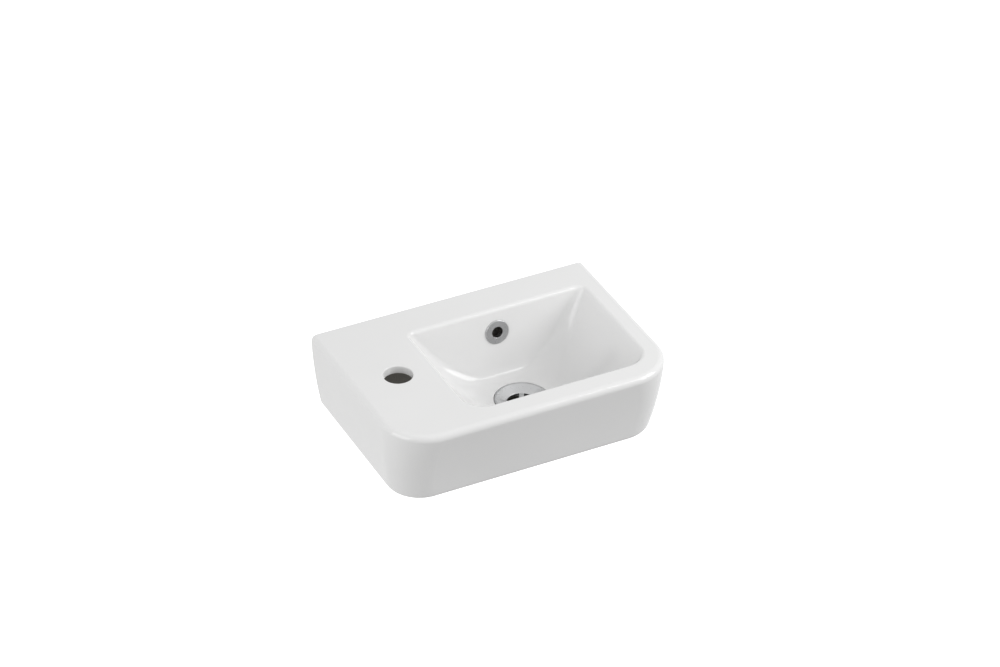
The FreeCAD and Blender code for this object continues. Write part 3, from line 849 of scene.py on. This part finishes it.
def strainer():
    """The pressed flange, dish and skirt, with its level cross and hub."""
    flange_bottom = FLANGE_Z - FLANGE_THICKNESS
    skirt_bore = SKIRT_RADIUS - SHEET
    dish = turned("strainer", rounded((
        (STRAINER_RADIUS, flange_bottom, FINE),
        (STRAINER_RADIUS, FLANGE_Z, FLANGE_ROUNDING),
        (DISH_RADIUS, FLANGE_Z, DISH_ROUNDING),
        (OPENING_RADIUS, OPENING_Z, BLUNT),
        (OPENING_RADIUS, BAR_BOTTOM, SMALL),
        (skirt_bore, BAR_BOTTOM),
        (skirt_bore, SKIRT_BOTTOM, FINE),
        (SKIRT_RADIUS, SKIRT_BOTTOM, FINE),
        (SKIRT_RADIUS, BAR_BOTTOM + PAST, SOFT),
        (DISH_RADIUS - SHEET, flange_bottom, SOFT),
    )), WASTE_PLACE)
    hub = rounded((
        (0, BAR_BOTTOM), (HUB_RADIUS, BAR_BOTTOM, SMALL), (HUB_RADIUS, OPENING_Z, SOFT), (0, OPENING_Z),
    ))
    bars = crossed_bars("bar", BAR_WIDTH, OPENING_RADIUS + PAST, BAR_BOTTOM, OPENING_Z, BLUNT)
    combine(dish, [turned("hub", hub, WASTE_PLACE)] + bars, "UNION")
    hole = rod(SCREW_RADIUS + SCREW_CLEARANCE, BAR_BOTTOM - PAST, FLANGE_Z)
    combine(dish, [turned("hole", hole, WASTE_PLACE, steps=SMALL_LATHE_STEPS)], "DIFFERENCE")
    return finish_surface(dish)


def screw():
    """Domed cheese-head screw with a slot and an M6 thread."""
    top = OPENING_Z + SCREW_HEAD_HEIGHT
    head = rounded((
        (0, OPENING_Z), (SCREW_HEAD_RADIUS, OPENING_Z, CRISP),
        (SCREW_HEAD_RADIUS, top, SCREW_HEAD_ROUNDING), (0, top),
    ))
    piece = turned("strainer_screw", head, WASTE_PLACE, steps=SMALL_LATHE_STEPS)
    shank_top = OPENING_Z + SCREW_OVERLAP
    start, end = OPENING_Z - SCREW_PLAIN, TAIL_HUB_Z + SCREW_CHAMFER
    rows = [(0, shank_top), (SCREW_RADIUS, shank_top), (SCREW_RADIUS, start)]
    rows += thread_rows(SCREW_RADIUS, start, end, SCREW_PITCH, SCREW_THREAD)
    rows += [(SCREW_RADIUS - SCREW_CHAMFER, TAIL_HUB_Z), (0, TAIL_HUB_Z)]
    shank = turned("shank", rows, WASTE_PLACE, pitch=SCREW_PITCH, steps=SHANK_STEPS)
    combine(piece, [shank], "UNION")
    half, reach = SCREW_SLOT_WIDTH / 2, SCREW_HEAD_RADIUS + PAST
    slot = np.array([(-half, -reach), (half, -reach), (half, reach), (-half, reach)]) + (BOWL_X, WASTE_Y)
    loops = [with_height(slot, z) for z in (top - SCREW_SLOT_DEPTH, top + PAST)]
    combine(piece, [stacked("slot", loops)], "DIFFERENCE")
    return finish_surface(piece)


def tail():
    """Flanged cup with a threaded outlet, and the screw's hub on crossed bars."""
    flange_bottom = TAIL_TOP_Z - TAIL_FLANGE_THICKNESS
    cup_floor = TAIL_CUP_Z + TAIL_FLANGE_THICKNESS
    outlet_end = (OUTLET_RADIUS, OUTLET_Z)
    outer = rounded((
        (TAIL_FLANGE_RADIUS, TAIL_TOP_Z, FINE),
        (TAIL_FLANGE_RADIUS, flange_bottom, TAIL_FLANGE_ROUNDING),
        (TAIL_CUP_RADIUS, flange_bottom, TAIL_NECK_ROUNDING),
        (TAIL_CUP_RADIUS, cup_floor, TAIL_SHOULDER_ROUNDING),
        (OUTLET_RADIUS, TAIL_CUP_Z, TAIL_STEP_ROUNDING),
        outlet_end,
        (OUTLET_BORE, OUTLET_Z, SMALL),
        (OUTLET_BORE, TAIL_CUP_Z, EASED),
        (TAIL_CUP_BORE, cup_floor, TAIL_STEP_ROUNDING),
        (TAIL_CUP_BORE, TAIL_TOP_Z, FINE),
    ))
    start, end = TAIL_CUP_Z - OUTLET_NECK, OUTLET_Z + OUTLET_CHAMFER
    threads = thread_rows(OUTLET_RADIUS, start, end, OUTLET_PITCH, OUTLET_THREAD)
    foot = outer.index(outlet_end)
    outer[foot:foot + 1] = threads + [(OUTLET_END_RADIUS, OUTLET_Z)]
    piece = turned("waste_tailpiece", outer, WASTE_PLACE, pitch=OUTLET_PITCH)
    hub = rounded((
        (0, TAIL_HUB_Z), (TAIL_HUB_RADIUS, TAIL_HUB_Z, EASED),
        (TAIL_HUB_RADIUS, TAIL_TOP_Z, EASED), (0, TAIL_TOP_Z),
    ))
    bar_top = TAIL_HUB_Z + TAIL_BAR_HEIGHT
    bars = crossed_bars("tail_bar", TAIL_BAR_WIDTH, TAIL_CUP_BORE + PAST, TAIL_HUB_Z, bar_top, EASED)
    combine(piece, [turned("hub", hub, WASTE_PLACE)] + bars, "UNION")
    hole = rod(SCREW_RADIUS + SCREW_HUB_GAP, TAIL_HUB_Z - PAST, TAIL_TOP_Z + PAST)
    combine(piece, [turned("hole", hole, WASTE_PLACE, steps=SMALL_LATHE_STEPS)], "DIFFERENCE")
    return finish_surface(piece)


# ---- Wall fixings ----

def stud(name, place):
    """Hanger stud: M8 thread into the room, plain middle, wood thread and point into the wall."""
    point = STUD_IN_WALL - STUD_POINT
    start, end = -STUD_IN_ROOM + STUD_CHAMFER, STUD_IN_WALL - STUD_TIP
    rows = [(0, -STUD_IN_ROOM), (STUD_RADIUS - STUD_CHAMFER, -STUD_IN_ROOM)]
    rows += thread_rows(STUD_RADIUS, start, STUD_THREAD_END, STUD_PITCH, STUD_THREAD)
    rows += [(STUD_RADIUS, distance) for distance in STUD_PLAIN]
    rows += thread_rows(STUD_RADIUS, WOOD_THREAD_START, point, WOOD_THREAD_FADE, WOOD_THREAD)
    rows += thread_rows(STUD_RADIUS, point, end, WOOD_THREAD_FADE, WOOD_THREAD, STUD_POINT_THREAD_RADIUS)
    rows += [(STUD_TIP, STUD_IN_WALL), (0, STUD_IN_WALL)]
    piece = turned(name, rows, place, TO_WALL, pitch=STUD_PITCH, steps=SMALL_LATHE_STEPS)
    return finish_surface(piece, STUD_SHARP_DEGREES)


def bush(name, place):
    """Flanged bush: its sleeve in the back panel's hole, its flange in front."""
    sleeve_end = BACK_PANEL - BUSH_SLEEVE
    piece = turned(name, rounded((
        (BUSH_BORE, -BUSH_FRONT, FINE),
        (BUSH_FLANGE_RADIUS, -BUSH_FRONT, BUSH_FLANGE_ROUNDING),
        (BUSH_FLANGE_RADIUS, -BACK_PANEL, FINE),
        (BUSH_RADIUS, -BACK_PANEL, CRISP),
        (BUSH_RADIUS, -sleeve_end, SOFT),
        (BUSH_BORE, -sleeve_end, FINE),
    )), place, TO_WALL, steps=SMALL_LATHE_STEPS)
    return finish_surface(piece)


def washer(name, place):
    """Plain washer, its front edge rounded more, as punching leaves it."""
    piece = turned(name, rounded((
        (WASHER_BORE, -WASHER_FRONT, CRISP),
        (WASHER_RADIUS, -WASHER_FRONT, SMALL),
        (WASHER_RADIUS, -BUSH_FRONT, CRISP),
        (WASHER_BORE, -BUSH_FRONT, CRISP),
    )), place, TO_WALL, steps=SMALL_LATHE_STEPS)
    return finish_surface(piece)


def nut(name, place):
    """Hexagon nut with its corners turned off on both faces and a countersunk bore."""
    near, far = -WASHER_FRONT, -WASHER_FRONT - NUT_HEIGHT
    corner = NUT_ACROSS_FLATS / math.sqrt(3)
    ring = [(corner * math.cos(a), corner * math.sin(a)) for a in np.radians(np.arange(0, 360, 60))]
    loops = [np.array([(place[0] + x, y, place[2] + z) for x, z in ring]) for y in (far, near)]
    piece = stacked(name, loops)
    face, clear = corner - NUT_FACE_INSET, corner + NUT_CORNER_CLEARANCE
    barrel = (
        (0, far), (face, far), (clear, far + NUT_CHAMFER),
        (clear, near - NUT_CHAMFER), (face, near), (0, near),
    )
    combine(piece, [turned("barrel", barrel, place, TO_WALL)], "INTERSECT")
    bore = (
        (0, far - PAST), (NUT_FAR_SINK_RADIUS, far - PAST), (NUT_BORE, far + NUT_SINK),
        (NUT_BORE, near - NUT_SINK), (NUT_NEAR_SINK_RADIUS, near + NUT_NEAR_PAST), (0, near + NUT_NEAR_PAST),
    )
    combine(piece, [turned("bore", bore, place, TO_WALL, steps=SMALL_LATHE_STEPS)], "DIFFERENCE")
    return finish_surface(piece, NUT_SHARP_DEGREES)


# ---- Materials ----

class Nodes:
    """Small helper for writing the nodes of a material or a world."""

    def __init__(self, owner, output="ShaderNodeOutputMaterial"):
        owner.use_nodes = True
        self.owner = owner
        self.tree = owner.node_tree
        self.tree.nodes.clear()
        self.output = self.tree.nodes.new(output)

    def add(self, kind, inputs=None, **settings):
        node = self.tree.nodes.new(kind)
        for key, value in settings.items():
            setattr(node, key, value)
        for key, value in (inputs or {}).items():
            if isinstance(value, bpy.types.NodeSocket):
                self.tree.links.new(value, node.inputs[key])
            else:
                node.inputs[key].default_value = value
        return node

    def place(self):
        return self.add("ShaderNodeTexCoord").outputs["Object"]

    def noise(self, vector, scale, detail=2.0, roughness=0.5):
        node = self.add("ShaderNodeTexNoise", {
            "Vector": vector, "Scale": scale, "Detail": detail, "Roughness": roughness,
        })
        return node.outputs["Fac"]

    def ramp(self, value, low, high, to_low=0.0, to_high=1.0):
        node = self.add("ShaderNodeMapRange", {
            "Value": value, "From Min": low, "From Max": high, "To Min": to_low, "To Max": to_high,
        })
        return node.outputs["Result"]

    def math(self, operation, a, b):
        return self.add("ShaderNodeMath", {0: a, 1: b}, operation=operation).outputs[0]

    def mix(self, factor, a, b):
        node = self.add("ShaderNodeMix", {"Factor": factor, "A": a, "B": b}, data_type="RGBA")
        return node.outputs["Result"]

    def clouds(self, noise, low, high):
        """A colour that wanders softly between two."""
        return self.mix(self.ramp(noise, 0.3, 0.7), low, high)

    def bump(self, height, distance, strength, normal=None):
        inputs = {"Height": height, "Distance": distance, "Strength": strength}
        if normal is not None:
            inputs["Normal"] = normal
        return self.add("ShaderNodeBump", inputs).outputs["Normal"]

    def finish(self, shader):
        self.tree.links.new(shader.outputs[0], self.output.inputs["Surface"])
        return self.owner

    def surface(self, **inputs):
        named = {key.replace("_", " "): value for key, value in inputs.items()}
        return self.finish(self.add("ShaderNodeBsdfPrincipled", named))


def new_material(name):
    return Nodes(bpy.data.materials.new(name))


def glaze():
    """White glaze, with bare clay on the back, the foot and the boss, and bare clay in the hollow that is
    darkened by painted shade.
    """
    n = new_material("white_glaze")
    place = n.place()
    axes = n.add("ShaderNodeSeparateXYZ", {0: place}).outputs
    cloud = n.noise(place, 9.0, 3.0)
    speck = n.noise(place, 900.0, 2.0, 0.6)

    def band(value, edge, limits):
        return n.ramp(value, (edge + limits[0]) * MM, (edge + limits[1]) * MM)

    at_wall = band(axes["Y"], 0.0, CLAY_AT_WALL)
    at_foot = band(axes["Z"], FOOT_Z, CLAY_AT_FOOT)
    under_foot = band(axes["Z"], FOOT_Z, GLAZE_UNDER_FOOT)
    below_boss = band(axes["Z"], BOSS_Z, CLAY_AT_BOSS)
    normal = n.add("ShaderNodeNewGeometry").outputs["Normal"]
    facing_down = n.ramp(n.add("ShaderNodeSeparateXYZ", {0: normal}).outputs["Z"], *CLAY_FACING)
    level_foot = n.math("SUBTRACT", at_foot, under_foot)
    foot = n.math("MULTIPLY", n.math("MAXIMUM", level_foot, below_boss), facing_down)
    hollow = n.add("ShaderNodeAttribute", attribute_name="bare_clay_and_painted_shade").outputs["Fac"]
    bare = n.math("MAXIMUM", n.math("MAXIMUM", at_wall, foot), hollow)
    white = n.clouds(cloud, (0.795, 0.795, 0.792, 1), (0.815, 0.815, 0.813, 1))
    grit = n.ramp(speck, 0.35, 0.75)
    plain_clay_tone = n.mix(grit, (0.52, 0.50, 0.46, 1), (0.62, 0.60, 0.56, 1))
    # Painted shade: the clay in the hollow gets a much darker tone, which stands in for the shade under the
    # deck.
    painted_shade_clay = n.mix(grit, (0.22, 0.21, 0.19, 1), (0.30, 0.285, 0.26, 1))
    clay = n.mix(n.math("SUBTRACT", hollow, foot), plain_clay_tone, painted_shade_clay)
    wave = n.bump(n.noise(place, 28.0, 1.0), 0.0004, 0.35)
    return n.surface(
        Base_Color=n.mix(bare, white, clay),
        Roughness=n.ramp(bare, 0, 1, 0.08, 0.75),
        Normal=n.bump(n.math("MULTIPLY", speck, bare), 0.0003, 0.6, wave),
        IOR=1.52,
    )


def metal(name, colour, roughness, stretch, scratches=300.0, spread=0.06):
    """Plated or turned metal: fine scratches, uneven polish and a slightly uneven colour."""
    n = new_material(name)
    place = n.place()
    smudge = n.noise(place, 60.0, 3.0)
    along = n.add("ShaderNodeMapping", {"Vector": place, "Scale": (1.0, 1.0, stretch)}).outputs[0]
    scratch = n.noise(along, scratches, 4.0, 0.65)
    dark = tuple(0.9 * c for c in colour)
    return n.surface(
        Base_Color=n.clouds(smudge, dark + (1,), colour + (1,)),
        Roughness=n.ramp(scratch, 0.25, 0.75, roughness, roughness + spread),
        Normal=n.bump(scratch, 0.00004, 0.25),
        Metallic=1.0,
    )


def moulded(name, low, high, roughness, grain, depth):
    """Rubber or nylon, with the fine grain of a mould."""
    n = new_material(name)
    place = n.place()
    fine = n.noise(place, grain, 3.0, 0.6)
    cloud = n.noise(place, 45.0, 2.0)
    return n.surface(
        Base_Color=n.clouds(cloud, low + (1,), high + (1,)),
        Roughness=n.ramp(fine, 0.3, 0.7, roughness, roughness + 0.15),
        Normal=n.bump(fine, depth, 0.5),
    )


MATERIALS = {
    "glazed_china": glaze(),
    "chrome_plate": metal("chrome_plating", (0.55, 0.555, 0.56), roughness=0.26, stretch=1.0),
    "stainless_steel": metal(
        "turned_stainless", (0.50, 0.50, 0.49), roughness=0.22, stretch=0.2, scratches=500.0, spread=0.12,
    ),
    "zinc_steel": metal(
        "zinc_plating", (0.55, 0.57, 0.60), roughness=0.28, stretch=3.0, scratches=400.0, spread=0.15,
    ),
    "seal_rubber": moulded(
        "black_rubber", (0.018, 0.018, 0.018), (0.03, 0.03, 0.03), roughness=0.55, grain=1500.0, depth=0.0001,
    ),
    "white_nylon": moulded(
        "natural_nylon", (0.70, 0.69, 0.65), (0.76, 0.75, 0.71), roughness=0.35, grain=1200.0, depth=0.00005,
    ),
}


# ---- Putting it together ----

def dress(piece, slot, *nodes):
    """Gives a piece its material, hangs it on the root body and hides the model's nodes that it stands for.
    """
    piece.data.materials.clear()
    piece.data.materials.append(MATERIALS[slot])
    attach(piece, "root")
    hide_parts(*nodes)


dress(china_body(), "glazed_china", "ceramic_basin")
dress(overflow_trim(), "chrome_plate", "overflow_ring")
dress(strainer(), "chrome_plate", "waste_strainer")
dress(screw(), "stainless_steel", "waste_screw")
dress(tail(), "chrome_plate", "waste_tail")
for hand, side in (("left", -1), ("right", 1)):
    spot = (side * FIXING_SPACING / 2, 0, 0)
    dress(stud("stud_" + hand, spot), "zinc_steel", "fixing_studs")
    dress(bush("bush_" + hand, spot), "white_nylon", "fixing_bushes")
    dress(washer("washer_" + hand, spot), "zinc_steel", "fixing_washers")
    dress(nut("nut_" + hand, spot), "zinc_steel", "fixing_nuts")
for node in ("strainer_seal", "tail_seal"):
    for material_slot in frame["nodes"][node].material_slots:
        material_slot.material = MATERIALS["seal_rubber"]


# ---- Floor ----

def floor():
    """White to the camera from above and in reflections, dim to other light, clear from below."""
    size, level = FLOOR_SIZE, FLOOR_LEVEL
    mesh = bpy.data.meshes.new("floor")
    corners = [(-size, -size, level), (size, -size, level), (size, size, level), (-size, size, level)]
    mesh.from_pydata(corners, [], [(0, 1, 2, 3)])
    piece = bpy.data.objects.new("floor", mesh)
    bpy.context.scene.collection.objects.link(piece)
    n = new_material("pale_floor")
    rays = n.add("ShaderNodeLightPath").outputs
    reflected = n.math("MAXIMUM", rays["Is Glossy Ray"], rays["Is Transmission Ray"])
    pale = n.clouds(n.noise(n.place(), 6.0, 3.0), *FLOOR_PALE)
    card = n.add("ShaderNodeBsdfDiffuse", {"Color": pale})
    glow = n.add("ShaderNodeEmission", {"Strength": FLOOR_GLOW})
    shown = n.add("ShaderNodeAddShader", {0: card.outputs[0], 1: glow.outputs[0]})
    dim = n.add("ShaderNodeBsdfDiffuse", {"Color": FLOOR_DIM})
    white = n.add("ShaderNodeEmission", {"Strength": 1.0})
    unseen = n.add("ShaderNodeMixShader", {"Fac": reflected, 1: dim.outputs[0], 2: white.outputs[0]})
    either = n.add("ShaderNodeMixShader", {
        "Fac": rays["Is Camera Ray"], 1: unseen.outputs[0], 2: shown.outputs[0],
    })
    clear = n.add("ShaderNodeBsdfTransparent")
    back = n.add("ShaderNodeNewGeometry").outputs["Backfacing"]
    both = n.add("ShaderNodeMixShader", {"Fac": back, 1: either.outputs[0], 2: clear.outputs[0]})
    mesh.materials.append(n.finish(both))


floor()


# ---- World and lamps ----

def world():
    """White to the camera and in reflections, and a soft even sky for light."""
    sky = bpy.data.worlds.new("studio")
    bpy.context.scene.world = sky
    n = Nodes(sky, "ShaderNodeOutputWorld")
    rays = n.add("ShaderNodeLightPath").outputs
    seen = n.math("MAXIMUM", rays["Is Camera Ray"], rays["Is Glossy Ray"])
    seen = n.math("MAXIMUM", seen, rays["Is Transmission Ray"])
    soft = n.add("ShaderNodeBackground", {"Color": WHITE, "Strength": SKY_STRENGTH})
    white = n.add("ShaderNodeBackground", {"Color": WHITE, "Strength": 1.0})
    n.finish(n.add("ShaderNodeMixShader", {"Fac": seen, 1: soft.outputs[0], 2: white.outputs[0]}))


def softbox(name, azimuth, elevation, size, watts):
    """A square lamp aimed at the basin."""
    light = bpy.data.lights.new(name, "AREA")
    light.shape = "SQUARE"
    light.size = size
    light.energy = watts
    lamp = bpy.data.objects.new(name, light)
    bpy.context.scene.collection.objects.link(lamp)
    turn, rise = math.radians(azimuth), math.radians(elevation)
    outwards = Vector((math.cos(rise) * math.sin(turn), -math.cos(rise) * math.cos(turn), math.sin(rise)))
    lamp.location = BASIN_CENTRE + outwards * SOFTBOX_DISTANCE
    lamp.rotation_euler = outwards.to_track_quat("Z", "Y").to_euler()


world()
for box in SOFTBOXES:
    softbox(*box)


# ---- Camera ----

def camera():
    """At the photograph's viewing angle, with its whole frame."""
    right = CAMERA_RIGHT.normalized()
    back = CAMERA_BACK.normalized()
    up = back.cross(right).normalized()
    lens = bpy.data.cameras.new("camera")
    lens.sensor_width = CAMERA_SENSOR
    lens.lens = CAMERA_LENS
    eye = bpy.data.objects.new("camera", lens)
    bpy.context.scene.collection.objects.link(eye)
    turn = Matrix((right, up, back)).transposed().to_4x4()
    eye.matrix_world = Matrix.Translation(CAMERA_PLACE) @ turn
    bpy.context.scene.camera = eye


camera()
bpy.context.scene.view_settings.view_transform = "Standard"
